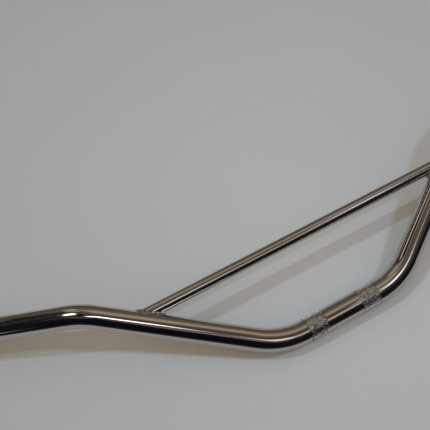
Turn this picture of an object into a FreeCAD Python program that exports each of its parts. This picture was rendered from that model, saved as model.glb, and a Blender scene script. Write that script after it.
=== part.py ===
"""Motorcycle handlebar: a bent steel tube with a welded cross brace, lying as it comes to rest.

The origin is the middle of the clamp section, on the tube's axis. +X runs along the clamp section
to the clutch side, +Y from the clamp section to the grips, and +Z is up from the surface below.
The bar lies on its clamp bands and on the lower rims of its two open ends.
"""
import FreeCAD
import Part
import math
import os
from FreeCAD import Vector

# Main tube
TUBE_OD = 22.2
TUBE_WALL = 2.0
END_CHAMFER = 0.5

# Clamp section, straight between the two lower bends, with a knurled band beside each bend
CLAMP_STRAIGHT = 79.0
BAND_MARGIN = 1.2
BAND_WIDTH = 19.6

# Diamond knurl of the bands: crests above the tube, depth to the valleys, diamonds round and along
KNURL_RAISE = 0.15
KNURL_DEPTH = 0.4
KNURL_COUNT = 36
KNURL_ROWS = 6

# Rises, which leave the clamp section at the lower bends
LOWER_BEND_RADIUS = 75.0
RISE_ANGLE = 35.6
RISE_STRAIGHT = 145.4

# Grips, which leave the rises at the upper bends and sweep back out of their plane
UPPER_BEND_RADIUS = 80.0
GRIP_ANGLE = 20.3
SETBACK_ANGLE = 14.0
GRIP_STRAIGHT = 220.0

# Cross brace, parallel to the clamp section: its axis meets each rise this far below the upper bend
BRACE_OD = 12.0
BRACE_WALL = 1.5
BRACE_DROP = 30.3

# Weld beads: how far a bead reaches from both tubes, its ripples, and the root that is trimmed off
WELD_COVER = 1.9
WELD_RIPPLES = 18
WELD_RIPPLE = 0.15
WELD_ROOT = 0.5
WELD_ARC_STEPS = 4

ALONG_CLAMP = Vector(1, 0, 0)


def rise_plane(lean):
    """Two unit directions: up the plane of the rises, and square to that plane on its upper side."""
    up_rise = Vector(0, math.cos(lean), math.sin(lean))
    off_plane = Vector(0, -math.sin(lean), math.cos(lean))
    return up_rise, off_plane


def rise_direction(lean):
    """Direction of the clutch-side rise, away from the clamp section."""
    angle = math.radians(RISE_ANGLE)
    up_rise, _ = rise_plane(lean)
    return ALONG_CLAMP * math.cos(angle) + up_rise * math.sin(angle)


def grip_direction(lean):
    """Direction of the clutch-side grip, out to its open end."""
    angle = math.radians(GRIP_ANGLE)
    setback = math.radians(SETBACK_ANGLE)
    up_rise, off_plane = rise_plane(lean)
    in_plane = ALONG_CLAMP * math.cos(angle) + up_rise * math.sin(angle)
    return in_plane * math.cos(setback) - off_plane * math.sin(setback)


def bend_end(start, start_direction, end_direction, bend_radius):
    """Centre and axis of a bend of the centre line, its angle in degrees, and the point where it ends."""
    axis = start_direction.cross(end_direction).normalize()
    centre = start + axis.cross(start_direction) * bend_radius
    angle = math.degrees(start_direction.getAngle(end_direction))
    end = centre + FreeCAD.Rotation(axis, angle).multVec(start - centre)
    return centre, axis, angle, end


def rise_ends(lean):
    """Points of the centre line where the straight of the clutch-side rise starts and ends."""
    rise = rise_direction(lean)
    bend_start = ALONG_CLAMP * (CLAMP_STRAIGHT / 2)
    start = bend_end(bend_start, ALONG_CLAMP, rise, LOWER_BEND_RADIUS)[-1]
    return start, start + rise * RISE_STRAIGHT


def grip_ends(lean):
    """Points of the centre line where the straight of the clutch-side grip starts and ends."""
    grip = grip_direction(lean)
    start = bend_end(rise_ends(lean)[1], rise_direction(lean), grip, UPPER_BEND_RADIUS)[-1]
    return start, start + grip * GRIP_STRAIGHT


def rim_height(lean):
    """Height of the lowest point of an open end's rim above the clamp axis."""
    grip = grip_direction(lean)
    rim_centre = grip_ends(lean)[1] - grip * END_CHAMFER
    return rim_centre.z - TUBE_OD / 2 * math.sqrt(1 - grip.z ** 2)


def lean_at_rest():
    """Lean of the rise plane that puts the clamp bands and the two end rims on one level."""
    surface = -(TUBE_OD / 2 + KNURL_RAISE)
    low = 0.0
    high = math.radians(60)
    for _ in range(60):
        middle = (low + high) / 2
        if rim_height(middle) < surface:
            low = middle
        else:
            high = middle
    return middle


def disc(centre, direction, radius):
    """Flat disc square to a direction."""
    return Part.Face(Part.Wire(Part.makeCircle(radius, centre, direction)))


def straight_rod(start, end, radius):
    """Straight rod between two points."""
    return disc(start, end - start, radius).extrude(end - start)


def bent_rod(start, start_direction, end_direction, bend_radius, radius):
    """Rod through a bend of the centre line."""
    centre, axis, angle, _ = bend_end(start, start_direction, end_direction, bend_radius)
    return disc(start, start_direction, radius).revolve(centre, axis, angle)


def half_bar_rod(lean, radius):
    """Rod on the centre line, from the middle of the clamp section to the clutch-side end."""
    rise = rise_direction(lean)
    clamp_end = ALONG_CLAMP * (CLAMP_STRAIGHT / 2)
    rise_start, rise_end = rise_ends(lean)
    grip_start, grip_end = grip_ends(lean)
    return straight_rod(Vector(), clamp_end, radius).fuse([
        bent_rod(clamp_end, ALONG_CLAMP, rise, LOWER_BEND_RADIUS, radius),
        straight_rod(rise_start, rise_end, radius),
        bent_rod(rise_end, rise, grip_direction(lean), UPPER_BEND_RADIUS, radius),
        straight_rod(grip_start, grip_end, radius),
    ])


def rim_cut(lean):
    """Ring that breaks the outer edge of the clutch-side end."""
    radius = TUBE_OD / 2
    grip = grip_direction(lean)
    start = grip_ends(lean)[1] - grip * END_CHAMFER
    collar = Part.makeCylinder(radius + END_CHAMFER, END_CHAMFER, start, grip)
    return collar.cut(Part.makeCone(radius, radius - END_CHAMFER, END_CHAMFER, start, grip))


def solid_of(polygons):
    """Solid bounded by flat polygons."""
    faces = [Part.Face(Part.makePolygon(polygon + polygon[:1])) for polygon in polygons]
    return Part.Solid(Part.Shell(faces))


def band_ends():
    """Distances along the clamp axis where the clutch-side knurled band starts and ends."""
    far = CLAMP_STRAIGHT / 2 - BAND_MARGIN
    return far - BAND_WIDTH, far


def band_sleeve(outer_radius):
    """Sleeve over the clutch-side band, from half the tube's wall outwards."""
    start, end = [ALONG_CLAMP * place for place in band_ends()]
    root = TUBE_OD / 2 - TUBE_WALL / 2
    return straight_rod(start, end, outer_radius).cut(straight_rod(start, end, root))


def knurl_point(line, place, radius):
    """Point of the knurl: lines square to the axis lie half a diamond apart, places count diamonds round it."""
    start, end = band_ends()
    along = start + (end - start) * line / (2 * KNURL_ROWS)
    turn = 2 * math.pi * place / KNURL_COUNT
    return Vector(along, radius * math.cos(turn), radius * math.sin(turn))


def knurled_band():
    """Clutch-side band: staggered diamond pyramids round the tube, down to half the tube's wall."""
    crest = TUBE_OD / 2 + KNURL_RAISE
    valley = crest - KNURL_DEPTH
    last = 2 * KNURL_ROWS
    polygons = []
    for line in range(1, last):
        for index in range(KNURL_COUNT):
            place = index + line % 2 / 2
            peak = knurl_point(line, place, crest)
            foot = [
                knurl_point(line, place - 0.5, valley),
                knurl_point(line - 1, place, valley),
                knurl_point(line, place + 0.5, valley),
                knurl_point(line + 1, place, valley),
            ]
            polygons += [[peak, foot[side - 1], foot[side]] for side in range(4)]
    for line, inner_line in ((0, 1), (last, last - 1)):
        rim = [knurl_point(line, index - 0.5, valley) for index in range(KNURL_COUNT)]
        notch = [knurl_point(inner_line, index - 1, valley) for index in range(KNURL_COUNT)]
        polygons += [[rim[index - 1], rim[index], notch[index]] for index in range(KNURL_COUNT)]
        polygons.append(rim)
    return solid_of(polygons).common(band_sleeve(crest + KNURL_DEPTH))


def mirrored(shape):
    """Throttle-side twin of a clutch-side shape."""
    return shape.mirror(Vector(), ALONG_CLAMP)


def bar_tube(lean):
    """Main tube: one hollow tube from end to end, with its two knurled bands."""
    hollow = half_bar_rod(lean, TUBE_OD / 2 - TUBE_WALL)
    half = half_bar_rod(lean, TUBE_OD / 2).cut([hollow, rim_cut(lean), band_sleeve(TUBE_OD)])
    band = knurled_band()
    return half.fuse(mirrored(half)).removeSplitter().fuse([band, mirrored(band)])


def brace_end(lean):
    """Point where the brace's axis meets the axis of the clutch-side rise."""
    return rise_ends(lean)[1] - rise_direction(lean) * BRACE_DROP


def half_brace_rod(lean, radius):
    """Rod on the brace's axis, from its middle to the axis of the clutch-side rise."""
    end = brace_end(lean)
    return straight_rod(Vector(0, end.y, end.z), end, radius)


def cross_brace(lean):
    """Brace: a straight tube with both ends coped to the bar."""
    half = half_brace_rod(lean, BRACE_OD / 2).cut(half_brace_rod(lean, BRACE_OD / 2 - BRACE_WALL))
    half = half.cut(half_bar_rod(lean, TUBE_OD / 2))
    return half.fuse(mirrored(half)).removeSplitter()


def bead_point(lean, bar_distance, brace_distance, turn):
    """Point at a distance from the axis of the rise and from that of the brace, at a turn round the brace."""
    angle = math.radians(RISE_ANGLE)
    up_rise, off_plane = rise_plane(lean)
    up = brace_distance * math.cos(turn)
    off = brace_distance * math.sin(turn)
    along = (up * math.cos(angle) - math.sqrt(bar_distance ** 2 - off ** 2)) / math.sin(angle)
    return brace_end(lean) + ALONG_CLAMP * along + up_rise * up + off_plane * off


def bead_section(lean, turn, cover):
    """Section of the bead: a convex arc between the two tubes, closed through its root inside them."""
    bar = TUBE_OD / 2
    brace = BRACE_OD / 2
    on_brace = bead_point(lean, bar + cover, brace - WELD_ROOT, turn)
    crest = bead_point(lean, bar + cover, brace + cover, turn)
    on_bar = bead_point(lean, bar - WELD_ROOT, brace + cover, turn)
    root = bead_point(lean, bar - WELD_ROOT, brace - WELD_ROOT, turn)
    shares = [step / WELD_ARC_STEPS for step in range(WELD_ARC_STEPS + 1)]
    arc = [on_brace * (1 - share) ** 2 + crest * (2 * share * (1 - share)) + on_bar * share ** 2
           for share in shares]
    return arc + [root]


def weld_bead(lean):
    """Rippled bead all round the clutch-side end of the brace, trimmed to the bar and the brace."""
    stations = 2 * WELD_RIPPLES
    sections = []
    for station in range(stations):
        cover = WELD_COVER + WELD_RIPPLE * (-1) ** station
        sections.append(bead_section(lean, 2 * math.pi * station / stations, cover))
    polygons = []
    for station, section in enumerate(sections):
        before = sections[station - 1]
        for corner in range(len(section)):
            polygons.append([before[corner - 1], section[corner - 1], section[corner]])
            polygons.append([before[corner - 1], section[corner], before[corner]])
    return solid_of(polygons).cut([half_bar_rod(lean, TUBE_OD / 2), half_brace_rod(lean, BRACE_OD / 2)])


def main():
    os.makedirs("parts", exist_ok=True)
    lean = lean_at_rest()
    bead = weld_bead(lean)
    pieces = {
        "bar_tube": bar_tube(lean),
        "cross_brace": cross_brace(lean),
        "clutch_side_weld": bead,
        "throttle_side_weld": mirrored(bead),
    }
    for name, shape in pieces.items():
        solid, = shape.Solids
        solid.exportStep(f"parts/{name}.step")


main()
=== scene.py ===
"""Chromed motorcycle handlebar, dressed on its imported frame.

The bar tube with its knurled clamp bands, the cross brace and the two weld beads are made finer than
in the frame. The bar lies on a pale floor in a soft studio.
"""
import math

import bmesh
import bpy
from bpy.props import FloatProperty, FloatVectorProperty, IntProperty, PointerProperty
from mathutils import Matrix, Vector


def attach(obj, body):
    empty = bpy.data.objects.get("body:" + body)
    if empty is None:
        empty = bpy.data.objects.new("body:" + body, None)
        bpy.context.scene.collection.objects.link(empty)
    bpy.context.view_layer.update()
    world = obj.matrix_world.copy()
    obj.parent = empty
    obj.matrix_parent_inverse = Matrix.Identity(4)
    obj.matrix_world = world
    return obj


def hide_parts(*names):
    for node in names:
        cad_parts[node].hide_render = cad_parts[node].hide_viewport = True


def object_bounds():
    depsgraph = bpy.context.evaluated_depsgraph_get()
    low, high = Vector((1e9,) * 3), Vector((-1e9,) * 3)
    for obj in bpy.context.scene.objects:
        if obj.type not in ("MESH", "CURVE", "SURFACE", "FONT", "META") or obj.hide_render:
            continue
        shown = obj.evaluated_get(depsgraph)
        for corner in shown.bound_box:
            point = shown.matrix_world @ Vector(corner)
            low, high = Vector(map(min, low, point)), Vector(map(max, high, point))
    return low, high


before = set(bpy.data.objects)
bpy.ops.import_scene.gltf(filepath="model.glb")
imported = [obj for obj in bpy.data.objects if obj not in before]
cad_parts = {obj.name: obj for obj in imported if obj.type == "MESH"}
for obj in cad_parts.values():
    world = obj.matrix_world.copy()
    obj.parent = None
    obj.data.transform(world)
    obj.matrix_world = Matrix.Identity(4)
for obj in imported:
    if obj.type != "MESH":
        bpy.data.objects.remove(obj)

bl_info = {
    "name": "Motorcycle Handlebar",
    "version": (1, 0, 0),
    "blender": (4, 5, 0),
    "location": "View3D > Sidebar > Handlebar",
    "description": "Builds a chromed, braced motorcycle handlebar and its studio",
    "category": "Object",
}

CAD_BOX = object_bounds()

# Fineness of the meshes
KNURL_CUTS = 5          # mesh steps across half a diamond of the knurl
KNURL_TOP = 8           # how flat the tops of the diamonds are
BEND_STEPS = 24         # rings through a bend, outside
BORE_STEPS = 6          # rings through a bend of the bore
RIM_STEPS = 4           # rings over the rounded edge of an open end
BRACE_SEGMENTS = 96     # mesh steps round the brace
BRACE_RINGS = (0, 0.3, 0.6, 0.9, 1)     # rings from the middle of the brace to its coped end
WELD_STEPS = 12         # mesh steps along one ripple of a bead
WELD_ARC = 14           # mesh steps across a bead
WELD_BOW = 0.9          # how far a ripple is swept back at the edges of a bead, in radians of its wave
SHARP_ANGLE = math.radians(38)          # edges sharper than this are not smoothed

# Search for the lean at which the bar comes to rest
LEAN_MOST = math.radians(60)
LEAN_HALVINGS = 40

ALONG_CLAMP = Vector((1, 0, 0))         # along the clamp section, to the clutch side

# Kinds of surface on the bar tube besides its plain plating, which is kind 0
BORE_KIND = 1
KNURL_KIND = 2

# Shades between which a finish wanders, as shares of its colour
CHROME_SHADES = (0.94, 1.04)
WELD_SHADES = (0.8, 1.08)
BORE_SHADES = (0.55, 1.3)

# Share of the plating's roughness where it is clear and where it is hazy
CHROME_HAZE = (0.7, 1.3)

# Knurl: shades of its worn and of its bright crests, where in the noise one goes over into the other, and
# the share of its colour left in its valleys, as painted shade
KNURL_SHADES = (0.64, 1.0)
KNURL_PATCHES = (0.42, 0.58)
KNURL_VALLEY_PAINTED_SHADE = 0.4

# Floor: the middle of its painted pool of light, its shades there and far out, and the strength of its
# mottle
FLOOR_PAINTED_POOL_MIDDLE = (0.02, 0.06, 0)
FLOOR_PAINTED_POOL_SHADES = (1.17, 0.85)
FLOOR_MOTTLE = 0.015

# Lit floor that the plating mirrors: where its edge starts and ends, as shares of its size, and the tone
# beyond it
LIT_EDGE = (0.93, 1.07)
UNLIT_FLOOR = (0.018, 0.016, 0.014)

# Lamps that give the shadows on the floor: the way to each from the bar, its tint, and its width in degrees
BACK_LAMP = ((-0.5, 0.42, 1), (0.765, 1, 1.22), 3.5)
SIDE_LAMP = ((0.65, -0.27, 1), (0.745, 1, 1.27), 6)

# Tone of the room round the clamp axis: degrees from the front horizon, over the top, and the colour there
ROOM_TONES = (
    (0, (0.005, 0.0025, 0.0)),
    (30, (0.006, 0.0035, 0.0005)),
    (42, (0.03, 0.025, 0.022)),
    (52, (0.055, 0.045, 0.036)),
    (64, (0.085, 0.068, 0.052)),
    (80, (0.08, 0.06, 0.042)),
    (93, (0.12, 0.09, 0.062)),
    (107, (0.47, 0.38, 0.285)),
    (116, (0.38, 0.305, 0.215)),
    (130, (0.20, 0.16, 0.115)),
    (143, (0.115, 0.09, 0.066)),
    (160, (0.12, 0.095, 0.07)),
    (180, (0.10, 0.085, 0.068)),
)

# Bright panels of the room that the plating mirrors: lean from overhead towards +X and +Y, turn, half
# length and half width in degrees, softness of the edge, and how bright they look
ROOM_PANELS = (
    ((-4, -18.5), 10, 8.5, 3.2, 0.35, (2.8, 2.6, 2.7)),
    ((-13.3, 7.5), 68, 6.5, 4.6, 0.55, (3.6, 3.6, 3.8)),
    ((24.0, -18.8), 90, 4.3, 1.8, 0.15, (2.0, 2.0, 2.4)),
    ((21.6, -10.5), 90, 5.5, 2.0, 0.3, (0.5, 0.5, 0.6)),
    ((10, -26), 90, 6, 2.8, 0.25, (0.6, 0.57, 0.54)),
    ((13, -30.5), 0, 9, 8, 0.15, (0.46, 0.42, 0.36)),
    ((64, 2), 90, 20, 11, 0.15, (2.0, 2.1, 2.4)),
    ((-55, 5), 0, 15, 15, 0.25, (0.6, 0.56, 0.52)),
    ((-74, 0), 90, 38, 9, 0.3, (0.75, 0.72, 0.68)),
    ((-13.8, 53.5), -14, 4.6, 4.8, 0.2, (0.62, 0.55, 0.44)),
    ((6, 47), 0, 5.5, 7, 0.5, (0.3, 0.29, 0.25)),
    ((-23, -20), 90, 13, 6, 0.5, (0.07, 0.056, 0.045)),
    ((-5.5, -33), 0, 5.5, 4.5, 0.35, (0.22, 0.165, 0.16)),
)

# Faint cold light that is left in the darkest corners of the room
ROOM_GLOOM = (0.0035, 0.005, 0.0075)

# Dark beam across the ceiling, told as the panels are, and the share of the room's tone that is left there
CEILING_BEAM = ((2, 16), 90, 9, 9, 0.35)
BEAM_SHADE = 0.25

# Dark throttle side of the room: where along X it is full and where it ends, and the share of the room's
# tone that is left there
DARK_SIDE = (-0.14, 0.0)
DARK_SHARE = 0.07

# Least share of a direction that counts as facing a panel, so that what lies behind falls far beside it
LEAST_FACING = 0.001

# Camera of the picture: where it stands, which way it looks, its upward side, its lens and sensor in
# millimetres, and how near and far it sees
CAMERA_PLACE = Vector((-0.26810, -0.24887, 0.76940))
CAMERA_WAY = Vector((0.24464172, 0.44521819, -0.86135428))
CAMERA_UP = Vector((0.43149239, 0.74554673, 0.5079118))
CAMERA_LENS = 75.785
CAMERA_SENSOR = 36.0
CAMERA_CLIP = (0.01, 200.0)


def length(name, description, default):
    """Property for a length in metres."""
    return FloatProperty(name=name, description=description, default=default, min=0.0, precision=5,
                         subtype="DISTANCE", unit="LENGTH")


def angle(name, description, degrees):
    """Property for an angle, given in degrees."""
    return FloatProperty(name=name, description=description, default=math.radians(degrees),
                         subtype="ANGLE", unit="ROTATION")


def colour(name, description, default):
    """Property for a linear colour."""
    return FloatVectorProperty(name=name, description=description, default=default, min=0.0,
                               soft_max=1.0, size=3, subtype="COLOR")


class HandlebarSizes(bpy.types.PropertyGroup):
    """Sizes of the bar, its brace and its welds"""

    tube_diameter: length("Tube diameter", "Outside diameter of the bar", 0.0222)
    tube_wall: length("Tube wall", "Wall of the bar", 0.002)
    end_edge: length("End edge", "Rounding of the outer edge at an open end", 0.0005)
    clamp_straight: length("Clamp section", "Straight between the two lower bends", 0.079)
    band_margin: length("Band margin", "Plain tube between a knurled band and its bend", 0.0012)
    band_width: length("Band width", "Width of a knurled band", 0.0196)
    knurl_raise: length("Knurl raise", "Height of the crests above the tube", 0.00015)
    knurl_depth: length("Knurl depth", "Depth from the crests to the valleys", 0.0004)
    knurl_count: IntProperty(name="Diamonds round", description="Diamonds of the knurl round the tube",
                             default=36, min=8)
    knurl_rows: IntProperty(name="Diamond rows", description="Rows of diamonds along a band",
                            default=6, min=2)
    lower_bend: length("Lower bend", "Bend radius between clamp section and rise", 0.075)
    rise_angle: angle("Rise angle", "Angle between the clamp section and a rise", 35.6)
    rise_straight: length("Rise", "Straight of a rise", 0.1454)
    upper_bend: length("Upper bend", "Bend radius between rise and grip", 0.08)
    grip_angle: angle("Grip angle", "Angle of a grip to the clamp section, in the plane of the rises", 20.3)
    setback_angle: angle("Setback", "Angle of a grip out of the plane of the rises", 14.0)
    grip_straight: length("Grip", "Straight of a grip", 0.22)
    brace_diameter: length("Brace diameter", "Outside diameter of the brace", 0.012)
    brace_wall: length("Brace wall", "Wall of the brace", 0.0015)
    brace_drop: length("Brace drop", "From the upper bend down the rise to the brace's axis", 0.0303)
    weld_cover: length("Weld cover", "How far a bead reaches from both tubes", 0.0019)
    weld_root: length("Weld root", "How far the bead's arc would go on into the tubes", 0.0005)
    weld_ripples: IntProperty(name="Weld ripples", description="Ripples round a bead", default=18, min=3)
    weld_ripple: length("Weld ripple", "Height of a ripple to each side of the cover", 0.00015)


class HandlebarFinish(bpy.types.PropertyGroup):
    """Colours of the plating and of the bare bore"""

    chrome: colour("Chrome", "Plating of the tubes", (0.62, 0.6, 0.58))
    chrome_roughness: FloatProperty(name="Chrome roughness", description="Roughness of clean plating",
                                default=0.03, min=0.0, max=1.0, subtype="FACTOR")
    weld: colour("Weld", "Plating over the beads", (0.46, 0.44, 0.42))
    knurl: colour("Knurl", "Plating on the crests of the knurl", (0.9, 0.89, 0.9))
    bore: colour("Bore", "Bare steel inside the tube", (0.2, 0.17, 0.14))


class HandlebarStage(bpy.types.PropertyGroup):
    """Floor and light of the studio"""

    floor: colour("Floor", "Pale floor under the bar", (0.374, 0.393, 0.408))
    floor_reach: length("Floor reach", "Half the width of the floor", 40.0)
    # Reach of the painted pool of light on the floor
    painted_pool_reach: length("Fade reach", "How far from its middle the floor fades to its outer tone", 0.6)
    lit_width: length("Lit width", "Half the width of the lit floor that the plating mirrors", 0.7)
    lit_depth: length("Lit depth", "Half the depth of the lit floor that the plating mirrors", 0.255)
    lit_centre: length("Lit centre", "How far behind the clamp section the lit floor has its middle", 0.195)
    dome_low: colour("Low dome", "Soft light from all round, at the horizon", (0.95, 0.6, 0.23))
    dome_high: colour("High dome", "Soft light from overhead", (0.67, 0.66, 0.655))
    back_light: FloatProperty(name="Back light", default=0.6, min=0.0,
                              description="Strength of the light behind the throttle side")
    side_light: FloatProperty(name="Side light", default=0.52, min=0.0,
                              description="Strength of the light at the clutch side")


def rise_plane(lean):
    """Two unit directions: up the plane of the rises, and square to that plane on its upper side."""
    up_rise = Vector((0, math.cos(lean), math.sin(lean)))
    off_plane = Vector((0, -math.sin(lean), math.cos(lean)))
    return up_rise, off_plane


def rise_direction(sizes, lean):
    """Direction of the clutch-side rise, away from the clamp section."""
    up_rise, _ = rise_plane(lean)
    return ALONG_CLAMP * math.cos(sizes.rise_angle) + up_rise * math.sin(sizes.rise_angle)


def grip_direction(sizes, lean):
    """Direction of the clutch-side grip, out to its open end."""
    up_rise, off_plane = rise_plane(lean)
    in_plane = ALONG_CLAMP * math.cos(sizes.grip_angle) + up_rise * math.sin(sizes.grip_angle)
    return in_plane * math.cos(sizes.setback_angle) - off_plane * math.sin(sizes.setback_angle)


def moved(place, distance):
    """Place of a ring further along the tube's axis."""
    return place @ Matrix.Translation((distance, 0, 0))


def bent(place, end_direction, radius, steps):
    """Places of the rings through a bend, up to its end."""
    start = place.translation
    start_direction = place.col[0].xyz
    axis = start_direction.cross(end_direction).normalized()
    centre = start + axis.cross(start_direction) * radius
    whole = start_direction.angle(end_direction)
    to_centre = Matrix.Translation(centre)
    return [to_centre @ Matrix.Rotation(whole * step / steps, 4, axis) @ to_centre.inverted() @ place
            for step in range(1, steps + 1)]


def half_bar_places(sizes, lean, steps):
    """Places of the rings of the clutch-side half: clamp end, lower bend, rise, upper bend and grip end."""
    clamp_end = moved(Matrix.Identity(4), sizes.clamp_straight / 2)
    lower = bent(clamp_end, rise_direction(sizes, lean), sizes.lower_bend, steps)
    rise_end = moved(lower[-1], sizes.rise_straight)
    upper = bent(rise_end, grip_direction(sizes, lean), sizes.upper_bend, steps)
    return [clamp_end, *lower, rise_end, *upper, moved(upper[-1], sizes.grip_straight)]


def lean_at_rest(sizes):
    """Lean of the rise plane that puts the clamp bands and the two end rims on one level."""
    radius = sizes.tube_diameter / 2
    low = 0.0
    high = LEAN_MOST
    for _ in range(LEAN_HALVINGS):
        middle = (low + high) / 2
        end = moved(half_bar_places(sizes, middle, 1)[-1], -sizes.end_edge)
        drop = radius * math.sqrt(1 - grip_direction(sizes, middle).z ** 2)
        if end.translation.z - drop < -(radius + sizes.knurl_raise):
            low = middle
        else:
            high = middle
    return middle


def ring(place, radii):
    """Points round the axis at a place: one radius for each."""
    turn = 2 * math.pi / len(radii)
    return [place @ Vector((0, radius * math.cos(turn * index), radius * math.sin(turn * index)))
            for index, radius in enumerate(radii)]


def mirrored(points):
    """Throttle-side twins of clutch-side points."""
    return [Vector((-point.x, point.y, point.z)) for point in points]


def both_sides(half):
    """Rows of a whole piece from those of its clutch side, whose first and last lie in the middle."""
    return half + [mirrored(points) for points in half[-2:0:-1]]


def knurl_height(sizes, line, place):
    """Height of the knurl, from 0 in a valley to 1 on a crest; lines and places count half diamonds."""
    share = 0.0
    for near_line in (math.floor(line), math.floor(line) + 1):
        for near_place in (math.floor(place), math.floor(place) + 1):
            inside = 0 < near_line < 2 * sizes.knurl_rows
            if inside and (near_line + near_place) % 2 == 0:
                reach = abs(line - near_line) + abs(place - near_place)
                share = max(share, 1 - reach)
    return 1 - (1 - share) ** KNURL_TOP


def knurled_rings(sizes, segments):
    """Rings of the clutch-side band, from its inner step to its outer step."""
    tube = sizes.tube_diameter / 2
    valley = tube + sizes.knurl_raise - sizes.knurl_depth
    end = sizes.clamp_straight / 2 - sizes.band_margin
    start = end - sizes.band_width
    lines = 2 * sizes.knurl_rows * KNURL_CUTS
    rings = [ring(Matrix.Translation((start, 0, 0)), [tube] * segments)]
    for line in range(lines + 1):
        radii = [valley + sizes.knurl_depth * knurl_height(sizes, line / KNURL_CUTS, index / KNURL_CUTS)
                 for index in range(segments)]
        rings.append(ring(Matrix.Translation((start + sizes.band_width * line / lines, 0, 0)), radii))
    rings.append(ring(Matrix.Translation((end, 0, 0)), [tube] * segments))
    return rings


def rim_rings(sizes, end, segments):
    """Rings over the rounded outer edge of the open end, and over its broken inner edge."""
    tube = sizes.tube_diameter / 2
    bore = tube - sizes.tube_wall
    edge = sizes.end_edge
    rings = []
    for step in range(RIM_STEPS + 1):
        turn = math.pi / 2 * step / RIM_STEPS
        radius = tube - edge + edge * math.cos(turn)
        rings.append(ring(moved(end, edge * (math.sin(turn) - 1)), [radius] * segments))
    rings.append(ring(end, [bore + edge / 2] * segments))
    rings.append(ring(moved(end, -edge / 2), [bore] * segments))
    return rings


def torus_mesh(name, rows, materials, row_kinds=None, fixed_diagonals=None):
    """Closed mesh over a grid that runs back into itself both ways.

    Rows in row_kinds take another of the materials than the first, and rows in fixed_diagonals are split
    into triangles along the valleys of the knurl.
    """
    row_kinds = row_kinds or {}
    fixed_diagonals = fixed_diagonals or {}
    columns = len(rows[0])
    faces = []
    kinds = []
    for row in range(len(rows)):
        after = (row + 1) % len(rows)
        for column in range(columns):
            beside = (column + 1) % columns
            corners = [row * columns + column, row * columns + beside,
                       after * columns + beside, after * columns + column]
            if row in fixed_diagonals:
                start = (fixed_diagonals[row] + column // KNURL_CUTS) % 2
                pieces = [[corners[start], corners[start + 1], corners[(start + 3) % 4]],
                          [corners[start + 1], corners[start + 2], corners[(start + 3) % 4]]]
            else:
                pieces = [corners]
            faces += pieces
            kinds += [row_kinds.get(row, 0)] * len(pieces)
    mesh = bpy.data.meshes.new(name)
    mesh.from_pydata([point for row in rows for point in row], [], faces)
    for material in materials:
        mesh.materials.append(material)
    mesh.polygons.foreach_set("material_index", kinds)
    shell = bmesh.new()
    shell.from_mesh(mesh)
    if shell.calc_volume(signed=True) < 0:
        bmesh.ops.reverse_faces(shell, faces=shell.faces)
    shell.to_mesh(mesh)
    shell.free()
    if mesh.validate():
        raise RuntimeError(f"{name}: the mesh has faults")
    mesh.shade_smooth()
    mesh.set_sharp_from_angle(angle=SHARP_ANGLE)
    return mesh


def placed(name, mesh, node):
    """Piece that stands for a node of the frame and takes its finish from a slot."""
    piece = bpy.data.objects.new(name, mesh)
    bpy.context.scene.collection.objects.link(piece)
    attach(piece, "root")
    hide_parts(node)


def brace_end(sizes, lean):
    """Point where the brace's axis meets the axis of the clutch-side rise."""
    rise_end = half_bar_places(sizes, lean, 1)[2].translation
    return rise_end - rise_direction(sizes, lean) * sizes.brace_drop


def joint_point(sizes, lean, bar_distance, brace_distance, turn):
    """Point at given distances from the axes of the rise and of the brace, at a turn round the brace."""
    up_rise, off_plane = rise_plane(lean)
    up = brace_distance * math.cos(turn)
    off = brace_distance * math.sin(turn)
    reach = math.sqrt(bar_distance ** 2 - off ** 2)
    along = (up * math.cos(sizes.rise_angle) - reach) / math.sin(sizes.rise_angle)
    return brace_end(sizes, lean) + ALONG_CLAMP * along + up_rise * up + off_plane * off


def bead_section(sizes, lean, turn):
    """Points round the section of the clutch-side bead, at a turn round the brace."""
    bar = sizes.tube_diameter / 2
    brace = sizes.brace_diameter / 2
    section = []
    for step in range(WELD_ARC + 1):
        across = step / WELD_ARC
        bow = WELD_BOW * (2 * across - 1) ** 2
        wave = abs(math.cos((turn * sizes.weld_ripples + bow) / 2))
        cover = sizes.weld_cover + sizes.weld_ripple * (2 * wave - 1)
        arc = cover + sizes.weld_root
        toe = 1 - math.sqrt(cover / arc)
        share = toe + (1 - 2 * toe) * across
        bar_distance = bar + cover - arc * share ** 2
        brace_distance = brace + cover - arc * (1 - share) ** 2
        section.append(joint_point(sizes, lean, bar_distance, brace_distance, turn))
    section.append(joint_point(sizes, lean, bar, brace, turn))
    return section


def feed(tree, socket, given):
    """Give an input the output of another node, or a value of its own."""
    if isinstance(given, bpy.types.NodeSocket):
        tree.links.new(given, socket)
    else:
        socket.default_value = given


def add(tree, kind, inputs, **settings):
    """Node with its settings; inputs maps the name or number of an input to what feeds it."""
    node = tree.nodes.new(kind)
    for name, value in settings.items():
        setattr(node, name, value)
    for name, given in inputs.items():
        feed(tree, node.inputs[name], given)
    return node


def number(tree, operation, *given):
    """Output of a sum with numbers."""
    return add(tree, "ShaderNodeMath", dict(enumerate(given)), operation=operation).outputs["Value"]


def vector(tree, operation, *given):
    """Output of a sum with vectors that gives a vector."""
    node = add(tree, "ShaderNodeVectorMath", dict(enumerate(given)), operation=operation)
    return node.outputs["Vector"]


def measure(tree, operation, *given):
    """Output of a sum with vectors that gives a number."""
    node = add(tree, "ShaderNodeVectorMath", dict(enumerate(given)), operation=operation)
    return node.outputs["Value"]


def scaled(tree, given, share):
    """Output of a vector or a colour times a number."""
    node = add(tree, "ShaderNodeVectorMath", {0: given, "Scale": share}, operation="SCALE")
    return node.outputs["Vector"]


def ranged(tree, value, start, end, low=0.0, high=1.0, curve="LINEAR"):
    """Output that goes from low to high while a value goes from start to end, and stays there."""
    limits = {"From Min": start, "From Max": end, "To Min": low, "To Max": high}
    node = add(tree, "ShaderNodeMapRange", {"Value": value, **limits}, interpolation_type=curve)
    return node.outputs["Result"]


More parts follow.
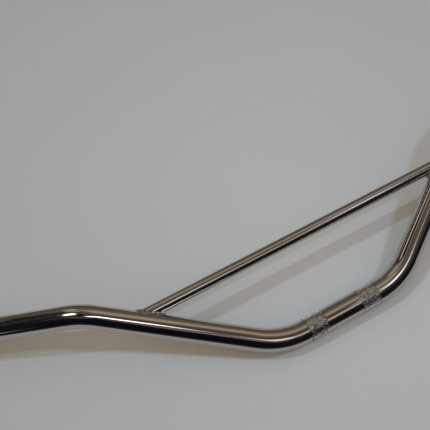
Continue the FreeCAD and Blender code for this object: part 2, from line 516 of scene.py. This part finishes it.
def spread(tree, value, low, high):
    """Output of a value from 0 to 1 spread between two numbers."""
    return ranged(tree, value, 0.0, 1.0, low, high)


def noise(tree, place, scale, detail, roughness=0.5):
    """Output of a noise of a given fineness, per metre."""
    look = {"Scale": scale, "Detail": detail, "Roughness": roughness}
    return add(tree, "ShaderNodeTexNoise", {"Vector": place, **look}).outputs["Fac"]


def blended(tree, value, first, second):
    """Output of a colour that goes from the first to the second; each is an output or a colour."""
    node = add(tree, "ShaderNodeMix", {"Factor": value}, data_type="RGBA")
    ends = [item for item in node.inputs if item.type == "RGBA"]
    for item, given in zip(ends, (first, second)):
        is_output = isinstance(given, bpy.types.NodeSocket)
        feed(tree, item, given if is_output else (*given, 1))
    return [output for output in node.outputs if output.type == "RGBA"][0]


def shaded(tree, value, tone, shades):
    """Output of a colour that goes from the first to the second of two shades of a tone."""
    first, second = shades
    return blended(tree, value, tone * first, tone * second)


def bumped(tree, height, depth):
    """Output of a normal pushed by a height of a given depth in metres."""
    node = add(tree, "ShaderNodeBump", {"Height": height, "Strength": 1.0, "Distance": depth})
    return node.outputs["Normal"]


def new_material(name):
    """Material, its tree, the inputs of its Principled shader, and the output of places on the piece."""
    material = bpy.data.materials.new(name)
    material.use_nodes = True
    tree = material.node_tree
    place = tree.nodes.new("ShaderNodeTexCoord").outputs["Object"]
    return material, tree, tree.nodes["Principled BSDF"].inputs, place


def chrome_material(finish):
    """Bright plating with a faint haze, fine specks and the slight waviness of a polished tube."""
    material, tree, shader, place = new_material("chrome_plate")
    haze = noise(tree, place, scale=45, detail=4, roughness=0.6)
    specks = noise(tree, place, scale=900, detail=2)
    waves = noise(tree, place, scale=28, detail=1)
    clear, hazy = (finish.chrome_roughness * share for share in CHROME_HAZE)
    worn = number(tree, "ADD", spread(tree, haze, clear, hazy), spread(tree, specks, low=0.0, high=0.02))
    feed(tree, shader["Base Color"], shaded(tree, haze, Vector(finish.chrome), CHROME_SHADES))
    feed(tree, shader["Metallic"], 1.0)
    feed(tree, shader["Roughness"], worn)
    feed(tree, shader["Normal"], bumped(tree, waves, depth=0.00003))
    return material


def weld_material(finish):
    """Plating over the rough bead, a little stained."""
    material, tree, shader, place = new_material("plated_weld")
    grain = noise(tree, place, scale=1400, detail=3)
    stain = noise(tree, place, scale=220, detail=3)
    feed(tree, shader["Base Color"], shaded(tree, stain, Vector(finish.weld), WELD_SHADES))
    feed(tree, shader["Metallic"], 1.0)
    feed(tree, shader["Roughness"], spread(tree, grain, low=0.2, high=0.38))
    feed(tree, shader["Normal"], bumped(tree, grain, depth=0.00006))
    return material


def knurl_material(finish, valley, crest):
    """Plating over the knurl: uneven, bright crests and dull valleys darkened with painted shade; valley
    and crest are radii.
    """
    material, tree, shader, place = new_material("knurled_plate")
    radius = measure(tree, "LENGTH", vector(tree, "MULTIPLY", place, (0, 1, 1)))
    height = ranged(tree, radius, valley, crest)
    uneven = noise(tree, place, scale=520, detail=2)
    bright = Vector(finish.knurl)
    crests = shaded(tree, ranged(tree, uneven, *KNURL_PATCHES), bright, KNURL_SHADES)
    # Painted shade: the colour darkens from the crests down into the valleys
    feed(tree, shader["Base Color"], blended(tree, height, bright * KNURL_VALLEY_PAINTED_SHADE, crests))
    feed(tree, shader["Metallic"], 1.0)
    feed(tree, shader["Roughness"], spread(tree, height, low=0.2, high=0.04))
    feed(tree, shader["Normal"], bumped(tree, uneven, depth=0.0004))
    return material


def bore_material(finish):
    """Bare drawn steel inside the tube, dull and a little stained."""
    material, tree, shader, place = new_material("bare_bore")
    stain = noise(tree, place, scale=160, detail=5, roughness=0.65)
    grain = noise(tree, place, scale=1200, detail=2)
    feed(tree, shader["Base Color"], shaded(tree, stain, Vector(finish.bore), BORE_SHADES))
    feed(tree, shader["Metallic"], 0.85)
    feed(tree, shader["Roughness"], spread(tree, stain, low=0.75, high=0.45))
    feed(tree, shader["Normal"], bumped(tree, grain, depth=0.00005))
    return material


def floor_material(stage):
    """Matt pale surface with a faint mottle and a painted pool of light, darker far out; the plating
    mirrors only its lit middle.
    """
    material, tree, shader, place = new_material("pale_floor")
    tone = Vector(stage.floor)
    # Painted pool of light: the floor's colour is lighter in the middle and darker far out
    away = measure(tree, "DISTANCE", place, FLOOR_PAINTED_POOL_MIDDLE)
    painted_pool = shaded(tree, ranged(tree, away, 0.0, stage.painted_pool_reach), tone, FLOOR_PAINTED_POOL_SHADES)
    mottle = noise(tree, place, scale=9, detail=3)
    pale = scaled(tree, painted_pool, spread(tree, mottle, low=1 - FLOOR_MOTTLE, high=1 + FLOOR_MOTTLE))
    offset = vector(tree, "SUBTRACT", place, (0, stage.lit_centre, 0))
    share = vector(tree, "DIVIDE", offset, (stage.lit_width, stage.lit_depth, 1))
    unlit = ranged(tree, measure(tree, "LENGTH", share), *LIT_EDGE, curve="SMOOTHSTEP")
    mirrored_ray = tree.nodes.new("ShaderNodeLightPath").outputs["Is Glossy Ray"]
    seen = blended(tree, mirrored_ray, pale, blended(tree, unlit, tone, UNLIT_FLOOR))
    feed(tree, shader["Base Color"], seen)
    feed(tree, shader["Roughness"], 0.8)
    feed(tree, shader["Specular IOR Level"], 0.15)
    return material


def panel_mask(tree, way, tilt, turn, half_length, half_width, edge):
    """Output that is 1 where a direction falls on a flat panel with soft edges.

    Tilt leans the panel from overhead, as degrees towards +X and +Y, and turn swings its long side.
    """
    lean = math.radians(math.hypot(*tilt))
    towards = math.atan2(tilt[1], tilt[0])
    flat = math.sin(lean)
    centre = Vector((flat * math.cos(towards), flat * math.sin(towards), math.cos(lean)))
    swing = math.radians(turn)
    long_side = Vector((math.cos(swing), math.sin(swing), 0))
    long_side = (long_side - centre * long_side.dot(centre)).normalized()
    short_side = centre.cross(long_side)
    facing = number(tree, "MAXIMUM", measure(tree, "DOT_PRODUCT", way, centre), LEAST_FACING)
    masks = []
    for side, half in ((long_side, half_length), (short_side, half_width)):
        slope = number(tree, "DIVIDE", measure(tree, "DOT_PRODUCT", way, side), facing)
        beside = number(tree, "ABSOLUTE", slope)
        limit = math.tan(math.radians(half))
        masks.append(ranged(tree, beside, limit * (1 + edge), limit * (1 - edge), curve="SMOOTHSTEP"))
    return number(tree, "MULTIPLY", *masks)


def studio_world(stage):
    """World of a dim warm room with bright panels for the plating, and a soft dome for the floor."""
    world = bpy.data.worlds.new("studio")
    world.use_nodes = True
    world.cycles.sampling_method = "NONE"
    bpy.context.scene.world = world
    tree = world.node_tree
    way = tree.nodes.new("ShaderNodeTexCoord").outputs["Generated"]
    parts = add(tree, "ShaderNodeSeparateXYZ", {0: way}).outputs
    turn = number(tree, "ARCTAN2", parts["Z"], number(tree, "MULTIPLY", parts["Y"], -1.0))
    ramp = add(tree, "ShaderNodeValToRGB", {"Fac": number(tree, "DIVIDE", turn, math.pi)})
    stops = ramp.color_ramp.elements
    while len(stops) < len(ROOM_TONES):
        stops.new(0.5)
    for stop, (degrees, tone) in zip(stops, ROOM_TONES):
        stop.position = degrees / 180
        stop.color = (*tone, 1)
    dim = ranged(tree, parts["X"], *DARK_SIDE, low=DARK_SHARE, curve="SMOOTHSTEP")
    beam = spread(tree, panel_mask(tree, way, *CEILING_BEAM), low=1.0, high=BEAM_SHADE)
    room = scaled(tree, ramp.outputs["Color"], number(tree, "MULTIPLY", dim, beam))
    room = vector(tree, "ADD", room, ROOM_GLOOM)
    for *panel, glare in ROOM_PANELS:
        glow = scaled(tree, glare, panel_mask(tree, way, *panel))
        room = vector(tree, "ADD", room, glow)
    rays = tree.nodes.new("ShaderNodeLightPath").outputs
    dome = blended(tree, parts["Z"], stage.dome_low, stage.dome_high)
    dome = blended(tree, rays["Is Camera Ray"], dome, stage.floor)
    # What the floor gets by way of the plating comes from the dome, so the panels throw no spots on it
    before_floor = number(tree, "LESS_THAN", rays["Diffuse Depth"], 0.5)
    mirrored_ray = number(tree, "MULTIPLY", rays["Is Glossy Ray"], before_floor)
    feed(tree, tree.nodes["Background"].inputs["Color"], blended(tree, mirrored_ray, dome, room))


def add_floor(stage):
    """Flat pale floor at the level of the lowest point of the bar."""
    reach = stage.floor_reach
    level = CAD_BOX[0].z
    mesh = bpy.data.meshes.new("floor")
    mesh.from_pydata([(-reach, -reach, level), (reach, -reach, level), (reach, reach, level),
                      (-reach, reach, level)], [], [(0, 1, 2, 3)])
    mesh.materials.append(floor_material(stage))
    floor = bpy.data.objects.new("floor", mesh)
    bpy.context.scene.collection.objects.link(floor)


def add_sun(name, strength, towards, tint, width):
    """Lamp that gives the shadows on the floor; the plating mirrors the room's panels instead."""
    lamp = bpy.data.objects.new(name, bpy.data.lights.new(name, "SUN"))
    bpy.context.scene.collection.objects.link(lamp)
    lamp.data.energy = strength
    lamp.data.color = tint
    lamp.data.angle = math.radians(width)
    lamp.rotation_euler = Vector(towards).to_track_quat("Z", "Y").to_euler()
    lamp.visible_glossy = False


def new_camera():
    """Camera that sees the bar as the picture does."""
    camera = bpy.data.objects.new("camera", bpy.data.cameras.new("camera"))
    bpy.context.scene.collection.objects.link(camera)
    side = CAMERA_WAY.cross(CAMERA_UP).normalized()
    up = side.cross(CAMERA_WAY).normalized()
    axes = Matrix((side, up, -CAMERA_WAY.normalized())).transposed()
    camera.matrix_world = Matrix.LocRotScale(CAMERA_PLACE, axes.to_quaternion(), None)
    camera.data.lens = CAMERA_LENS
    camera.data.sensor_width = CAMERA_SENSOR
    camera.data.clip_start, camera.data.clip_end = CAMERA_CLIP
    return camera


class HANDLEBAR_OT_bar_tube(bpy.types.Operator):
    """Make the bent tube with its knurled bands and open ends"""

    bl_idname = "handlebar.bar_tube"
    bl_label = "Bar tube"

    def execute(self, context):
        sizes = context.scene.handlebar_sizes
        finish = context.scene.handlebar_finish
        lean = lean_at_rest(sizes)
        segments = 2 * sizes.knurl_count * KNURL_CUTS
        tube = sizes.tube_diameter / 2
        bore = tube - sizes.tube_wall
        crest = tube + sizes.knurl_raise
        places = half_bar_places(sizes, lean, BEND_STEPS)
        band = knurled_rings(sizes, segments)
        half = [ring(Matrix.Identity(4), [tube] * segments), *band]
        half += [ring(place, [tube] * segments) for place in places[:-1]]
        half += rim_rings(sizes, places[-1], segments)
        plated = len(half) - 1
        bore_places = half_bar_places(sizes, lean, BORE_STEPS)
        half += [ring(place, [bore] * segments) for place in reversed(bore_places[:-1])]
        half.append(ring(Matrix.Identity(4), [bore] * segments))
        rows = both_sides(half)
        knurl = {}
        for strip in range(len(band) - 3):      # the band without its inner and outer step
            row = 2 + strip                     # after the middle ring and the inner step
            knurl[row] = 1 + strip // KNURL_CUTS
            knurl[len(rows) - 1 - row] = 1 + strip // KNURL_CUTS
        row_kinds = dict.fromkeys(range(plated, len(rows) - plated), BORE_KIND)
        row_kinds.update(dict.fromkeys(knurl, KNURL_KIND))
        materials = [chrome_material(finish), bore_material(finish),
                     knurl_material(finish, crest - sizes.knurl_depth, crest)]
        mesh = torus_mesh("bar_tube_plated", rows, materials, row_kinds, knurl)
        placed("bar_tube_plated", mesh, "bar_tube")
        return {"FINISHED"}


class HANDLEBAR_OT_cross_brace(bpy.types.Operator):
    """Make the straight brace with both ends coped to the bar"""

    bl_idname = "handlebar.cross_brace"
    bl_label = "Cross brace"

    def execute(self, context):
        sizes = context.scene.handlebar_sizes
        lean = lean_at_rest(sizes)
        outer = sizes.brace_diameter / 2
        inner = outer - sizes.brace_wall
        bar = sizes.tube_diameter / 2
        half = []
        for radius, shares in ((outer, BRACE_RINGS), (inner, BRACE_RINGS[::-1])):
            cope = [joint_point(sizes, lean, bar, radius, 2 * math.pi * index / BRACE_SEGMENTS)
                    for index in range(BRACE_SEGMENTS)]
            reach = min(point.x for point in cope)
            for share in shares:
                if share == 1:
                    half.append(cope)
                else:
                    half.append([Vector((reach * share, point.y, point.z)) for point in cope])
        rows = both_sides(half)
        mesh = torus_mesh("cross_brace_plated", rows, [bpy.data.materials["chrome_plate"]])
        placed("cross_brace_plated", mesh, "cross_brace")
        return {"FINISHED"}


class HANDLEBAR_OT_weld_beads(bpy.types.Operator):
    """Make the two rippled beads round the ends of the brace"""

    bl_idname = "handlebar.weld_beads"
    bl_label = "Weld beads"

    def execute(self, context):
        sizes = context.scene.handlebar_sizes
        lean = lean_at_rest(sizes)
        stations = sizes.weld_ripples * WELD_STEPS
        rows = [bead_section(sizes, lean, 2 * math.pi * station / stations) for station in range(stations)]
        material = weld_material(context.scene.handlebar_finish)
        twins = {"clutch_side_weld": rows, "throttle_side_weld": [mirrored(row) for row in rows]}
        for node, points in twins.items():
            name = f"{node}_plated"
            placed(name, torus_mesh(name, points, [material]), node)
        return {"FINISHED"}


class HANDLEBAR_OT_stage(bpy.types.Operator):
    """Set the floor, the light and the camera"""

    bl_idname = "handlebar.stage"
    bl_label = "Stage"

    def execute(self, context):
        stage = context.scene.handlebar_stage
        add_floor(stage)
        studio_world(stage)
        add_sun("back_light", stage.back_light, *BACK_LAMP)
        add_sun("side_light", stage.side_light, *SIDE_LAMP)
        context.scene.camera = new_camera()
        context.scene.view_settings.view_transform = "Standard"
        return {"FINISHED"}


class HANDLEBAR_PT_build(bpy.types.Panel):
    """Steps that build the handlebar"""

    bl_idname = "HANDLEBAR_PT_build"
    bl_label = "Motorcycle handlebar"
    bl_space_type = "VIEW_3D"
    bl_region_type = "UI"
    bl_category = "Handlebar"

    def draw(self, context):
        for step in STEPS:
            self.layout.operator(step.bl_idname)
        for group in GROUPS:
            values = getattr(context.scene, group)
            box = self.layout.box()
            for name in values.__annotations__:
                box.prop(values, name)


GROUPS = {
    "handlebar_sizes": HandlebarSizes,
    "handlebar_finish": HandlebarFinish,
    "handlebar_stage": HandlebarStage,
}
STEPS = (HANDLEBAR_OT_bar_tube, HANDLEBAR_OT_cross_brace, HANDLEBAR_OT_weld_beads, HANDLEBAR_OT_stage)


def register():
    """Register the groups of values, the steps and their panel."""
    for name, group in GROUPS.items():
        bpy.utils.register_class(group)
        setattr(bpy.types.Scene, name, PointerProperty(type=group))
    for kind in (*STEPS, HANDLEBAR_PT_build):
        bpy.utils.register_class(kind)


def unregister():
    """Take them all out again."""
    for kind in (HANDLEBAR_PT_build, *reversed(STEPS)):
        bpy.utils.unregister_class(kind)
    for name, group in reversed(GROUPS.items()):
        delattr(bpy.types.Scene, name)
        bpy.utils.unregister_class(group)


def main():
    """Build the handlebar and its stage."""
    register()
    bpy.ops.handlebar.bar_tube()
    bpy.ops.handlebar.cross_brace()
    bpy.ops.handlebar.weld_beads()
    bpy.ops.handlebar.stage()


if __name__ == "__main__":
    main()
